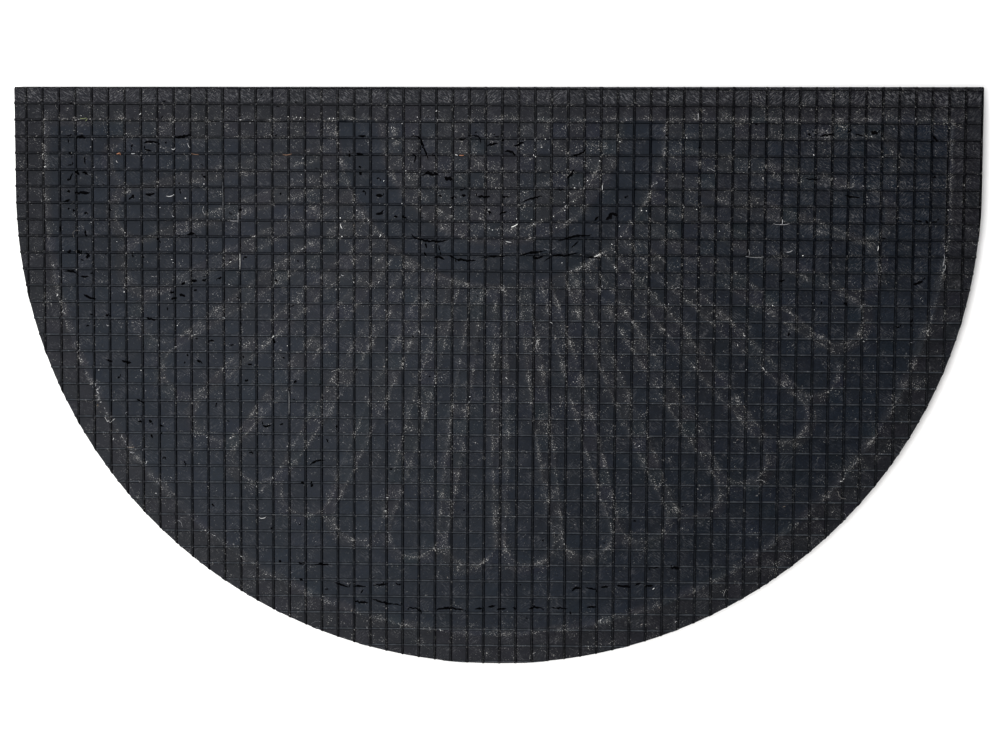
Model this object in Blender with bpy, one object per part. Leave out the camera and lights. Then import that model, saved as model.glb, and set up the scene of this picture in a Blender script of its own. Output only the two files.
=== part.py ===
"""A half-round coir doormat lying face down: the moulded rubber backing with its rib grid, and the coir pile."""

import math

import bmesh
import bpy
from mathutils import Matrix

# The outline, in metres: a straight edge towards +Y and a curved one towards -Y
MAT_WIDTH = 0.7472
MAT_DEPTH = 0.4500
SIDE_RUN = 0.0820  # straight part of each side, down from the corner
CURVE_FULLNESS = 2.012  # 2 is a plain half ellipse, more is fuller
CURVE_STEPS = 120
CORNER_RADIUS = 0.0015
CORNER_STEPS = 4

# The layers, in metres, up from the floor
PILE_THICKNESS = 0.0085
LAYER_GAP = 0.0003
BASE_THICKNESS = 0.0038
RIB_HEIGHT = 0.0014
BORDER_WIDTH = 0.0254
BORDER_CLEARANCE = 0.0015  # the coir stands this far proud of the rubber border

# The rib grid on the rubber's back
RIB_PITCH_ACROSS = 0.01269
RIB_PITCH_DOWN = 0.01279
GRID_TURN = math.radians(-0.22)
GRID_CROSSING = (0.00362, -0.00714)  # the rib crossing nearest the middle of the mat

PILE_TOP = PILE_THICKNESS
BASE_UNDERSIDE = PILE_TOP + LAYER_GAP
CELL_FLOOR = BASE_UNDERSIDE + BASE_THICKNESS
RIB_CREST = CELL_FLOOR + RIB_HEIGHT

RUBBER_LOOK = {"colour": (0.030, 0.033, 0.038), "roughness": 0.62}
COIR_LOOK = {"colour": (0.352, 0.212, 0.098), "roughness": 0.92}

CUTTER_MARGIN = 0.01


def clear_scene():
    for obj in list(bpy.data.objects):
        bpy.data.objects.remove(obj, do_unlink=True)


def new_collection(name, hidden=False):
    collection = bpy.data.collections.new(name)
    bpy.context.scene.collection.children.link(collection)
    collection.hide_render = hidden
    return collection


def new_material(name, look):
    material = bpy.data.materials.new(name)
    material.use_nodes = True
    shader = material.node_tree.nodes["Principled BSDF"]
    shader.inputs["Base Color"].default_value = (*look["colour"], 1.0)
    shader.inputs["Roughness"].default_value = look["roughness"]
    shader.inputs["Metallic"].default_value = 0.0
    return material


def outline_points(inset):
    """The mat's outline, drawn in by inset, from the right corner round the curve to the left one."""
    half_width = MAT_WIDTH / 2 - inset
    top = MAT_DEPTH / 2 - inset
    curve_top = MAT_DEPTH / 2 - SIDE_RUN
    curve_depth = MAT_DEPTH - SIDE_RUN - inset
    points = []
    for step in range(CORNER_STEPS + 1):
        angle = math.pi / 2 * (1 - step / CORNER_STEPS)
        points.append(
            (
                half_width - CORNER_RADIUS * (1 - math.cos(angle)),
                top - CORNER_RADIUS * (1 - math.sin(angle)),
            )
        )
    for step in range(CURVE_STEPS + 1):
        angle = math.pi * step / CURVE_STEPS
        across, down = math.cos(angle), math.sin(angle)
        power = 2 / CURVE_FULLNESS
        points.append(
            (
                math.copysign(abs(across) ** power, across) * half_width,
                curve_top - abs(down) ** power * curve_depth,
            )
        )
    for step in range(CORNER_STEPS + 1):
        x, y = points[CORNER_STEPS - step]
        points.append((-x, y))
    return points


def outline_slab(name, inset, bottom, top, collection):
    """A flat slab of the mat's outline, between two heights, made from a filled 2D curve."""
    curve = bpy.data.curves.new(name + "_curve", "CURVE")
    curve.dimensions = "2D"
    curve.fill_mode = "BOTH"
    curve.extrude = (top - bottom) / 2
    points = outline_points(inset)
    spline = curve.splines.new("POLY")
    spline.points.add(len(points) - 1)
    for point, (x, y) in zip(spline.points, points):
        point.co = (x, y, 0.0, 1.0)
    spline.use_cyclic_u = True
    drawn = bpy.data.objects.new(name + "_curve", curve)
    drawn.location.z = (top + bottom) / 2
    bpy.context.scene.collection.objects.link(drawn)
    bpy.context.view_layer.update()
    evaluated = drawn.evaluated_get(bpy.context.evaluated_depsgraph_get())
    mesh = bpy.data.meshes.new_from_object(evaluated)
    mesh.name = name
    mesh.transform(drawn.matrix_world)
    bpy.data.objects.remove(drawn, do_unlink=True)
    bpy.data.curves.remove(curve)
    shape = bmesh.new()
    shape.from_mesh(mesh)
    bmesh.ops.remove_doubles(shape, verts=shape.verts, dist=1e-6)
    bmesh.ops.recalc_face_normals(shape, faces=shape.faces)
    shape.to_mesh(mesh)
    shape.free()
    slab = bpy.data.objects.new(name, mesh)
    collection.objects.link(slab)
    return slab


def rib_block(name, collection):
    """A block larger than the mat whose top is the rib grid: ribs at the cell edges, each cell dished between them."""
    columns = 2 * math.ceil(MAT_WIDTH / 2 / RIB_PITCH_ACROSS + 2)
    rows = 2 * math.ceil(MAT_DEPTH / 2 / RIB_PITCH_DOWN + 2)
    shape = bmesh.new()
    bmesh.ops.create_grid(shape, x_segments=columns, y_segments=rows, size=1.0)
    stretch = Matrix.Diagonal((columns * RIB_PITCH_ACROSS / 2, rows * RIB_PITCH_DOWN / 2, 1.0, 1.0))
    place = Matrix.Translation((*GRID_CROSSING, RIB_CREST)) @ Matrix.Rotation(GRID_TURN, 4, "Z")
    bmesh.ops.transform(shape, matrix=place @ stretch, verts=shape.verts)
    rim = [edge for edge in shape.edges if edge.is_boundary]
    poked = bmesh.ops.poke(shape, faces=shape.faces[:])
    for vert in poked["verts"]:
        vert.co.z = CELL_FLOOR
    skirt = bmesh.ops.extrude_edge_only(shape, edges=rim)["geom"]
    low_edges = []
    for item in skirt:
        if isinstance(item, bmesh.types.BMVert):
            item.co.z = -CUTTER_MARGIN
        elif isinstance(item, bmesh.types.BMEdge) and item.is_boundary:
            low_edges.append(item)
    bmesh.ops.contextual_create(shape, geom=low_edges)
    bmesh.ops.recalc_face_normals(shape, faces=shape.faces)
    mesh = bpy.data.meshes.new(name)
    shape.to_mesh(mesh)
    shape.free()
    block = bpy.data.objects.new(name, mesh)
    collection.objects.link(block)
    return block


def cut(target, cutter, operation):
    boolean = target.modifiers.new(cutter.name, "BOOLEAN")
    boolean.operation = operation
    boolean.solver = "EXACT"
    boolean.object = cutter
    cutter.hide_render = True
    cutter.display_type = "WIRE"


def rubber_backing(parts, cutters, material):
    """The one moulded piece: base sheet, ribs on its back, and the border that reaches down round the pile."""
    backing = rib_block("rubber_backing", parts)
    outline = outline_slab("backing_outline", 0.0, BORDER_CLEARANCE, RIB_CREST + CUTTER_MARGIN, cutters)
    recess = outline_slab("pile_recess", BORDER_WIDTH, -CUTTER_MARGIN, BASE_UNDERSIDE, cutters)
    cut(backing, outline, "INTERSECT")
    cut(backing, recess, "DIFFERENCE")
    backing.data.materials.append(material)
    return backing


def coir_pile(parts, material):
    """The coir, trimmed flat where it lies on the floor, with its bristle field drawn in from the border."""
    pile = outline_slab("coir_pile", BORDER_WIDTH + LAYER_GAP, 0.0, PILE_TOP, parts)
    pile.data.materials.append(material)
    return pile


def main():
    clear_scene()
    parts = new_collection("coir_doormat")
    cutters = new_collection("coir_doormat_cutters", hidden=True)
    rubber_backing(parts, cutters, new_material("moulded_rubber", RUBBER_LOOK))
    coir_pile(parts, new_material("natural_coir", COIR_LOOK))


main()
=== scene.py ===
import math
from functools import partial

import bmesh
import bpy
import numpy as np
from mathutils import Euler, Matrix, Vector


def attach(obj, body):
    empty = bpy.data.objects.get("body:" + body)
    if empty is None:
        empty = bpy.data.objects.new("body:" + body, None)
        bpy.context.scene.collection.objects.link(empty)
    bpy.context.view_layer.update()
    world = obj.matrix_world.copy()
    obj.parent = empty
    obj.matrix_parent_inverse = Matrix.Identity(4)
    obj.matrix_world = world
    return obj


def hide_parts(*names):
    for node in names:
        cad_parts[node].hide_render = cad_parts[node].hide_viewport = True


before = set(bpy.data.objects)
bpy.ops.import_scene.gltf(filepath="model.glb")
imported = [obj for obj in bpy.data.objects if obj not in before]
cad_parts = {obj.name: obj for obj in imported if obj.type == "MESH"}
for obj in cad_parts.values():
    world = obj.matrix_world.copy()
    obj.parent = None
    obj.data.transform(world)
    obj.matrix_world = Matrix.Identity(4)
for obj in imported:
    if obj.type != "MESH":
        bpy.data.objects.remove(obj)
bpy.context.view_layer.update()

# A half-round coir doormat lying face down. Sizes are in metres unless a name says otherwise.
# The straight edge is towards +Y, the curved one towards -Y, the floor is at z = 0.
mm = 0.001

outline = {
    "width": 0.7472,
    "depth": 0.4500,
    "sideRun": 0.0820,       # straight part of each side, down from the corner
    "fullness": 2.012,       # 2 is a plain half ellipse, more is fuller
    "cornerRadius": 0.0015,
    "curveSteps": 120,
    "cornerSteps": 4,
    "border": 0.0254,        # plain rubber all round the coir
}

layers = {
    "rubberEdge": 0.0015,    # the coir stands this far proud of the rubber border
    "coirTop": 0.0085,
    "baseUnderside": 0.0088,
    "cellFloor": 0.0126,
    "ribCrest": 0.0140,
    "margin": 0.0100,        # how far the cutting shapes reach past the rubber
}

ribs = {
    "pitchAcross": 0.01272,
    "pitchDown": 0.01279,
    "columns": 63,                    # odd, so that a rib crossing sits in the middle
    "rows": 39,
    "foot": 0.0021,
    "crest": 0.0012,
    "turn": math.radians(-0.22),
    "crossing": (0.00350, -0.00620),  # the rib crossing nearest the middle of the mat
}

pressing = {
    "Relief": 0.00026,       # how far the front's pattern stands up on the back
    "Lumps": 0.00022,        # unevenness of the cell floors
    "Lump Grain": 0.0070,
    "Wander": 0.00018,       # how far the ribs stray sideways
    "Wander Grain": 0.0350,
}

camera = {
    "place": (0.02274, 0.08816, 1.3234),
    "turn": (math.radians(-3.732), math.radians(0.875), math.radians(0.099)),
    "lens": 60.70,           # in millimetres, as is the sensor's width
    "sensor": 36.0,
    "picture": (1000, 750),  # pixels across and down the photograph
}


def fromPhoto(x, y):
    # where a charted place, in the photograph's pixels, lies on the mat's back
    across, down = camera["picture"]
    reach = camera["lens"] / camera["sensor"] * across
    seen = Vector(((x + 0.5 - across / 2) / reach, (down / 2 - y - 0.5) / reach, -1.0))
    sight = Euler(camera["turn"]).to_matrix() @ seen
    start = Vector(camera["place"])
    return (start + sight * ((layers["cellFloor"] - start.z) / sight.z)).to_2d()


# Short tears in the skin: width in millimetres, then x and y of each place that the tear bends through
tearPaths = (
    (1.3, 410, 136, 415, 135, 420, 138, 421.5, 142, 423.6, 148, 426, 154, 428, 159),
    (0.7, 412, 153, 415, 156, 413.6, 163), (1.0, 432, 155.7, 434.5, 154.3, 435.7, 158.6),
    (1.6, 420, 175, 425, 174.3, 428, 171.4, 431, 174.3, 436, 173, 438.6, 175.7),
    (3.2, 443.6, 177, 448, 178, 452, 178.6), (0.5, 467, 135, 475.7, 135, 480, 137, 480, 143.6),
    (1.3, 485.7, 145.7, 491.4, 143.6, 498, 143), (0.7, 493, 136.4, 500, 136), (1.2, 502, 138, 503, 141.4),
    (1.0, 513, 145.7, 518.6, 143.6, 524, 141.4), (1.2, 503.6, 151.4, 509.3, 150.4, 513.6, 153, 514.3, 155.7),
    (0.6, 457, 139, 466, 138.6), (1.0, 569.3, 156.4, 577, 154.3, 583.6, 152, 584.3, 148),
    (1.2, 566.4, 178, 571.4, 173, 574.3, 168.6), (0.7, 559, 190, 563, 188.6), (1.0, 438, 195, 441.4, 196.4),
    (1.3, 449.3, 197, 453, 198, 454.3, 195.7), (1.3, 460.7, 195, 465.7, 195.3),
    (1.5, 476.4, 196.4, 483, 196, 490, 196.4), (1.1, 501.4, 195.7, 504.3, 197, 510, 196),
    (0.9, 520, 202, 525.7, 200, 529.3, 198, 535, 197.6, 541, 195), (1.0, 459.3, 190, 463.6, 188.6),
    (1.3, 401, 215.5, 406.5, 218), (0.9, 485.7, 208, 488.6, 211.4, 491.4, 213.6),
    (0.8, 498.6, 214.3, 503, 212, 507, 210.7), (1.3, 593.6, 220.7, 598.6, 215.7),
    (2.4, 605, 219.3, 610, 216.4, 611.4, 212, 617, 215.7),
    (1.1, 410.7, 233, 413, 237, 418.6, 238.6, 425.7, 240, 435.7, 241.4, 443, 240, 448.6, 239.3),
    (0.8, 425, 242.4, 426.4, 248), (0.6, 438, 243.8, 439.7, 250.7), (1.0, 423.6, 251.4, 426.4, 255.7),
    (1.3, 433, 257, 438, 255.7, 444.3, 259.3),
    (1.1, 446, 254.6, 450, 255, 455, 258.6, 463, 259.3, 467, 260.7, 476.4, 259.6),
    (0.5, 479, 257.4, 486, 256.4, 500, 256, 510, 255),
    (0.9, 519.3, 255, 525.7, 253, 533.6, 252, 540, 251.4, 547, 249.6), (1.3, 532, 257, 538, 258, 543, 255.7),
    (0.8, 543.6, 261.4, 547, 258, 551.4, 255.7, 558.6, 254.3, 564.3, 255.7, 571.4, 253.6, 578.6, 252),
    (1.1, 557, 240.7, 564.3, 238.6, 571.4, 236.4, 580, 235, 587, 235.7, 591.4, 233.6),
    (0.7, 570.7, 248, 574.3, 244.3, 577.9, 240), (0.7, 584.3, 257, 600, 257), (1.0, 66.4, 135.7, 72, 135),
    (0.7, 67, 138, 68.6, 143), (1.8, 77, 135.7, 82, 136, 85.7, 138), (1.2, 68.6, 151.4, 71.4, 155),
    (0.6, 83, 155, 85, 158, 84.3, 161.4, 85, 164.3), (0.7, 66.4, 164.3, 72, 164.6),
    (0.8, 67, 180.7, 70.7, 176.4, 72, 172), (1.8, 74.6, 170.4, 76.8, 172, 79, 175),
    (1.4, 81, 171.6, 85, 172, 87.4, 175), (1.6, 65.7, 190.7, 70, 190.7),
    (1.7, 73.6, 191.4, 76.4, 193, 83, 192, 90, 192.4), (1.1, 62, 201.4, 70, 199.3),
    (1.0, 67, 208, 69.3, 208.6), (1.4, 72, 209.3, 75, 210.3), (1.2, 83.6, 213.6, 87, 212),
    (1.7, 128, 199.3, 133.6, 194.3), (1.4, 144.3, 193.6, 150, 194.3, 154.3, 192.4),
    (1.1, 130.7, 147, 132, 143.6), (1.3, 143, 143, 147, 140.7, 158, 142), (0.8, 143.6, 148.6, 151.4, 150.7),
    (1.5, 164.3, 141.4, 166, 143), (1.6, 173.6, 137, 183, 136.4, 189.3, 134.3, 191.4, 136.4),
    (1.3, 178, 182, 178.6, 184), (1.3, 179, 188, 179.6, 190), (0.9, 84.3, 228.6, 84.3, 233.6, 87.4, 236),
    (0.9, 60, 225.7, 60.3, 231.4), (2.0, 67, 252, 71.4, 250.7), (2.0, 76.4, 250, 81.4, 253.6),
    (1.7, 85, 253.6, 88, 252, 86.4, 258.6), (1.0, 63, 270.7, 70, 270, 77, 273), (1.1, 79.3, 275.7, 88.6, 276),
    (1.0, 178, 236.4, 180, 234.3), (1.3, 185.7, 234.3, 190.7, 233, 195, 233.6), (1.6, 156, 238, 158.4, 239),
    (1.8, 180.7, 284.3, 185, 282), (1.3, 190.7, 280, 197, 280.7), (1.6, 201.4, 280, 206.4, 278.6),
    (1.2, 216.4, 278, 221.4, 277), (1.1, 169.3, 292, 174.3, 291.4), (1.8, 178.6, 293.6, 185, 296.4),
    (1.2, 193.6, 290.7, 196.4, 288.6), (1.4, 170, 298.6, 177, 297), (1.3, 83, 293.6, 88.6, 297, 95.7, 298.6),
    (1.4, 228.6, 260.7, 231.4, 259.3), (1.0, 243, 257, 247, 256.4), (1.3, 141.4, 257, 143.6, 255.7),
    (0.9, 131.4, 254.3, 132.6, 257), (1.1, 229.3, 213.6, 232, 213.6), (1.2, 238.6, 209.3, 241.4, 210),
    (1.0, 202, 175, 206, 177), (1.0, 334, 582, 342, 585, 348, 587), (0.9, 352, 585.4, 366, 586),
    (0.7, 360, 593, 363, 588.4), (1.0, 372, 585, 382, 584, 388, 583), (0.7, 395, 582, 400, 585),
    (1.3, 354, 601, 362, 602, 368, 602.4), (1.1, 371, 598, 384, 603, 396, 604, 401, 605.4),
    (0.8, 408, 607, 418, 608, 421.6, 613), (1.1, 435, 610.6, 439, 608, 450, 607.4, 464, 609.4),
    (1.1, 474, 608.6, 482, 608), (1.0, 487, 606.6, 495, 605), (1.1, 496, 609, 506, 608),
    (0.9, 512, 607, 516, 608.4), (1.5, 528, 609, 532, 606.6, 542, 607.6),
    (0.8, 550, 607, 560, 607.4, 568, 608.6), (1.1, 586, 607, 596, 606), (1.1, 571, 591, 575, 587, 581, 588),
    (0.7, 585, 587, 596, 589), (0.9, 600, 587, 608, 586), (1.7, 616, 585, 630, 586.4),
    (1.1, 634, 585, 641, 582), (1.2, 645, 585, 653, 585.4), (1.6, 670, 567.4, 679, 567),
    (0.7, 648, 567.4, 660, 566.6), (1.1, 807, 133, 811, 135), (1.3, 819, 136.4, 825, 134, 835, 134.6),
    (0.9, 846, 132, 852, 129.4), (0.8, 855, 133, 864, 135.6), (2.4, 870, 131, 875, 133, 878, 132),
    (1.3, 931, 135, 935, 138, 937, 142), (0.9, 929, 142, 933, 140), (1.0, 914, 220, 922, 221),
    (1.6, 924.6, 219.6, 928, 223), (0.7, 931, 222, 937, 221), (0.8, 844, 195, 850, 196.6, 860, 197),
    (0.5, 805, 178, 819, 179.4), (1.0, 932, 177, 936, 176.6), (1.8, 912, 284, 921, 282, 922.4, 280),
    (1.6, 843, 304, 847, 303), (1.0, 820, 302, 822, 303), (1.2, 634, 188, 634.6, 190),
    (1.1, 624, 196, 626, 197), (0.8, 778, 281, 784, 280.6), (1.0, 910, 323, 912, 317),
    (0.7, 894, 326, 900, 326.6), (1.3, 787, 334, 789, 334.4), (1.0, 357.5, 134.7, 361.7, 135.8, 365.8, 135.3),
    (1.6, 348.3, 152.5, 350, 156.7), (1.8, 355.8, 152.5, 360, 154.2, 363.3, 154.2),
    (0.9, 358.3, 165, 360, 168), (1.6, 358.3, 171.7, 361.3, 174.2), (0.8, 375.8, 178, 379, 177.5),
    (1.1, 361.7, 190.8, 365, 191.2), (1.5, 375, 194.7, 382.5, 195.3),
    (2.2, 375.8, 214.2, 380, 212.5, 383.3, 209.2), (1.0, 393.3, 215.8, 397.5, 216.3),
    (1.2, 279, 193, 281, 193.6), (1.3, 274, 280.3, 277, 279.7), (1.1, 296.7, 260, 298.3, 260.8),
    (1.0, 89, 313.6, 93, 314.4), (1.3, 105, 315, 109, 314.4), (1.3, 146, 317, 150, 319, 156, 319),
    (1.0, 166.4, 307, 167.6, 308), (1.1, 85, 325.6, 89, 324.4), (1.1, 105, 359, 109, 360, 113, 361),
    (1.8, 121, 359.6, 126, 361.6, 131, 362.4), (1.1, 117, 377.6, 119.6, 376.4), (1.3, 208, 340, 214, 340.6),
    (1.8, 273, 338, 274.4, 343), (1.5, 196, 360, 201, 361), (0.8, 187, 353, 187.4, 356),
    (1.3, 183.4, 362, 185, 362.4), (1.1, 247, 364.4, 252, 363.6), (1.6, 244, 380.4, 248, 379.6),
    (1.1, 236.6, 384.8, 238.4, 385), (1.3, 293, 382, 296.4, 380.4), (0.8, 136, 398, 144, 402.4),
    (1.0, 215, 403, 217, 403.4), (1.1, 137, 421, 142, 421.4), (1.5, 148, 419.6, 151.6, 421.6),
    (0.8, 159, 424, 164, 426.4), (1.3, 150, 434, 152.4, 437.6), (1.0, 142.6, 438, 144, 439),
    (1.5, 262, 425, 266, 426, 271, 425), (0.8, 263, 434, 267, 434.4), (0.8, 279, 424.4, 283, 423),
    (1.1, 336, 428, 337, 424), (1.0, 326, 438, 328, 442), (0.8, 163, 456, 166, 459),
    (1.0, 183, 461, 185, 462), (1.0, 248, 452.4, 252, 451.6), (1.1, 309, 465, 315, 460, 325, 459.6),
    (1.8, 301, 481, 303.6, 484), (1.8, 310, 484, 312.4, 486), (0.8, 211, 503, 214, 506),
    (1.1, 270, 528.4, 272.4, 526.4), (1.1, 278, 560, 281, 561), (1.1, 298, 562, 303, 563.6),
    (1.3, 310, 565, 315, 563.6, 322, 563, 331, 564), (1.1, 299, 578, 303, 579.6),
)

tears = {
    "depth": 0.0022,
    "step": 0.0013,          # between cross-sections along a tear
    "wider": 0.00055,        # added to each charted width
    "ragged": 0.55,          # how uneven a tear's two sides are, as a share of its width
    "stray": 0.00018,        # how far it wavers off its charted path
    "barbChance": 0.45,      # that a tear has a small side tear
    "flecks": 90,            # small ones, scattered by chance
    "fleckLength": (0.0012, 0.0036),
    "fleckWidth": (0.0006, 0.0013),
    "cutters": 4,            # tears that touch go to different cutting shapes
    "seed": 29,
}

fan = {
    "centre": (0.0033, 0.1980),
    "rings": (0.0352, 0.0825, 0.0925, 0.1278),
    "borderLine": 0.0247,    # how far in from the mat's edge its border line lies
    "petalTurn": math.radians(8.0),
    "petals": 11,            # to each side of the middle
    "tipBelow": 0.3460,      # from the centre to a petal's end, straight down
    "tipBeside": 0.3030,     # and out to the side
    "rootHalf": 0.0060,      # half a petal's width at the outer ring
    "tipHalf": 0.0195,
    "swell": 1.9,
    "lineHalf": 0.0015,
    "fade": 0.0030,
}


def addNode(tree, kind, inputs=(), **settings):
    # A kind in capitals is a Math node's operation. Inputs go by name, or in turn to the sockets in use.
    # A node stands for its first output in use, and a list for several links into one socket.
    if kind.isupper():
        kind, settings = "Math", {"operation": kind, **settings}
    prefixes = ("ShaderNode", "GeometryNode", "FunctionNode", "Node", "")
    node = tree.nodes.new(next(prefix + kind for prefix in prefixes if hasattr(bpy.types, prefix + kind)))
    for name, value in settings.items():
        setattr(node, name, value)
    if isinstance(inputs, dict):
        pairs = [(node.inputs[name], value) for name, value in inputs.items()]
    else:
        pairs = zip([socket for socket in node.inputs if socket.enabled], inputs)
    for socket, values in pairs:
        for value in values if isinstance(values, list) else [values]:
            if isinstance(value, bpy.types.Node):
                value = next(output for output in value.outputs if output.enabled)
            if isinstance(value, bpy.types.NodeSocket):
                tree.links.new(value, socket)
            else:
                socket.default_value = value
    return node


def newTree(name, kind="GeometryNodeTree", results=(("Geometry", "Geometry"),), **sockets):
    # results and sockets are listed by their type, such as Float="Length, Radius"
    tree = bpy.data.node_groups.new(name, kind)
    for way, listed in (("INPUT", sockets.items()), ("OUTPUT", results)):
        for socketType, labels in listed:
            for label in labels.split(", "):
                tree.interface.new_socket(name=label, in_out=way, socket_type="NodeSocket" + socketType)
    add = partial(addNode, tree)
    return tree, add, add("GroupInput").outputs


def newMaterial(name):
    material = bpy.data.materials.new(name)
    material.use_nodes = True
    material.node_tree.nodes.clear()
    return material, partial(addNode, material.node_tree)


def useTree(obj, tree, values):
    modifier = obj.modifiers.new(tree.name, "NODES")
    modifier.node_group = tree
    for item in tree.interface.items_tree:
        if item.item_type == "SOCKET" and item.in_out == "INPUT" and item.name in values:
            modifier[item.identifier] = values[item.name]


def newObject(name, mesh):
    obj = bpy.data.objects.new(name, mesh)
    bpy.context.scene.collection.objects.link(obj)
    return obj


def shapeObject(name, shape, material=None):
    # hands a finished bmesh to a new object
    mesh = bpy.data.meshes.new(name)
    shape.to_mesh(mesh)
    shape.free()
    if material:
        mesh.materials.append(material)
    return newObject(name, mesh)


def settle(obj):
    # turns what the modifiers make into the object's own plain mesh
    depsgraph = bpy.context.evaluated_depsgraph_get()
    mesh = bpy.data.meshes.new_from_object(obj.evaluated_get(depsgraph), depsgraph=depsgraph)
    obj.modifiers.clear()
    obj.data = mesh
    mesh.name = obj.name


def sRGB(code):
    channels = [int(code[i:i + 2], 16) / 255 for i in (1, 3, 5)]
    return (*[c / 12.92 if c <= 0.04045 else ((c + 0.055) / 1.055) ** 2.4 for c in channels], 1.0)


# The outline and the solids cut to it

def outlinePoints(inset):
    # from the right corner round the curve to the left corner
    halfWidth = outline["width"] / 2 - inset
    top = outline["depth"] / 2 - inset
    curveTop = outline["depth"] / 2 - outline["sideRun"]
    curveDepth = outline["depth"] - outline["sideRun"] - inset
    radius = outline["cornerRadius"]
    corner = []
    for step in range(outline["cornerSteps"] + 1):
        angle = math.pi / 2 * (1 - step / outline["cornerSteps"])
        corner.append((halfWidth - radius * (1 - math.cos(angle)), top - radius * (1 - math.sin(angle))))
    curve = []
    power = 2 / outline["fullness"]
    for step in range(outline["curveSteps"] + 1):
        angle = math.pi * step / outline["curveSteps"]
        across = math.copysign(abs(math.cos(angle)) ** power, math.cos(angle))
        curve.append((across * halfWidth, curveTop - math.sin(angle) ** power * curveDepth))
    return corner + curve + [(-x, y) for x, y in reversed(corner)]


def outlineSolid(name, inset, bottom, top, material=None):
    shape = bmesh.new()
    rim = [shape.verts.new((x, y, bottom)) for x, y in outlinePoints(inset)]
    base = shape.faces.new(rim)
    raised = bmesh.ops.extrude_face_region(shape, geom=[base])["geom"]
    lifted = [item for item in raised if isinstance(item, bmesh.types.BMVert)]
    bmesh.ops.translate(shape, verts=lifted, vec=(0, 0, top - bottom))
    bmesh.ops.recalc_face_normals(shape, faces=shape.faces)
    return shapeObject(name, shape, material)


def cutWith(obj, cutter, operation):
    modifier = obj.modifiers.new(cutter.name, "BOOLEAN")
    modifier.operation = operation
    modifier.solver = "MANIFOLD"
    modifier.material_mode = "TRANSFER"
    modifier.object = cutter


# Tears in the rubber's skin

def tearRing(shape, centre, side, left, right, depth):
    # one cross-section: a keel below, two walls up through the skin
    keel = layers["cellFloor"] - depth
    skin = layers["cellFloor"] - 0.25 * depth
    top = layers["ribCrest"] + 3 * mm
    corners = ((right, top), (right, skin), (0.1 * right - 0.1 * left, keel), (-left, skin), (-left, top))
    return [shape.verts.new((*(centre + side * away), height)) for away, height in corners]


def tearStations(path, width, dice):
    # even steps along a path, its corners eased and its line wavering a little
    points = [Vector(place) for place in path]
    for _ in range(2):
        eased = [points[0]]
        for near, far in zip(points, points[1:]):
            eased += [near.lerp(far, 0.25), near.lerp(far, 0.75)]
        points = eased + [points[-1]]
    lengths = [0.0]
    for near, far in zip(points, points[1:]):
        lengths.append(lengths[-1] + (far - near).length)
    count = max(4, round(lengths[-1] / tears["step"]))
    marks = [lengths[-1] * i / count for i in range(count + 1)]
    across = np.interp(marks, lengths, [point.x for point in points])
    down = np.interp(marks, lengths, [point.y for point in points])
    spots = [Vector(spot) for spot in zip(across, down)]
    stations = []
    for i, spot in enumerate(spots):
        ahead = (spots[min(i + 1, count)] - spots[max(i - 1, 0)]).normalized()
        side = Vector((ahead.y, -ahead.x))
        gape = max(math.sin(math.pi * i / count), 0.0) ** 0.5
        centre = spot + side * dice.normal(0.0, tears["stray"]) * gape
        halves = [max(0.5 * width * gape * (1 + tears["ragged"] * dice.uniform(-1, 1)), 0.04 * mm)
                  for _ in ("left", "right")]
        stations.append((centre, side, halves, gape))
    return stations


def joinRings(shape, rings):
    # a closed tube through rings of points
    count = len(rings[0])
    for near, far in zip(rings, rings[1:]):
        for i in range(count):
            j = (i + 1) % count
            shape.faces.new((near[i], near[j], far[j], far[i]))
    shape.faces.new(rings[0][::-1])
    shape.faces.new(rings[-1])


def fleckPaths(dice):
    halfWidth, halfDepth = outline["width"] / 2, outline["depth"] / 2
    flecks = []
    while len(flecks) < tears["flecks"]:
        place = Vector((dice.uniform(-halfWidth, halfWidth), dice.uniform(-halfDepth, halfDepth)))
        # fewer on the right half and towards the lower edge
        likely = 0.9 - 0.8 * (place.x / halfWidth) * (place.x > 0) - 0.4 * (place.y < 0)
        if dice.random() > likely:
            continue
        angle = dice.normal(0.0, 0.6)
        half = Vector((math.cos(angle), math.sin(angle))) * dice.uniform(*tears["fleckLength"]) / 2
        flecks.append(((place - half, place + half), dice.uniform(*tears["fleckWidth"])))
    return flecks


def makeTearCutters(material):
    dice = np.random.default_rng(tears["seed"])
    wanted = []
    for width, *places in tearPaths:
        path = [fromPhoto(x, y) for x, y in zip(places[::2], places[1::2])]
        wanted.append((path, width * mm + tears["wider"], tears["depth"]))
        if dice.random() < tears["barbChance"]:
            root = path[dice.integers(len(path))]
            angle = math.copysign(dice.uniform(0.7, 1.9), dice.uniform(-1, 1))
            tip = root + Vector((math.cos(angle), math.sin(angle))) * dice.uniform(1.4, 3.4) * mm
            wanted.append(([root, tip], 0.9 * mm, 0.7 * tears["depth"]))
    wanted += [(path, width, 0.6 * tears["depth"]) for path, width in fleckPaths(dice)]
    layered = [[] for _ in range(tears["cutters"])]
    for path, width, depth in wanted:
        stations = tearStations(path, width, dice)
        centres = np.array([station[0] for station in stations])
        for layer in layered:
            gap = 0.75 * width + 0.5 * mm
            free = all(np.linalg.norm(centres[:, None] - other[None], axis=2).min() > gap + 0.75 * otherWidth
                       for _, _, other, otherWidth in layer)
            if free:
                layer.append((stations, depth, centres, width))
                break
    cutters = []
    for number, layer in enumerate(layered):
        shape = bmesh.new()
        for stations, depth, _, _ in layer:
            joinRings(shape, [tearRing(shape, centre, side, *halves, depth * max(gape, 0.15))
                              for centre, side, halves, gape in stations])
        bmesh.ops.recalc_face_normals(shape, faces=shape.faces)
        cutters.append(shapeObject("skin_tears_" + str(number), shape, material))
    print("tears:", [len(layer) for layer in layered], "of", len(wanted))
    return cutters


# The fan of petals on the mat's face, which shows through its back as faint relief

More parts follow.
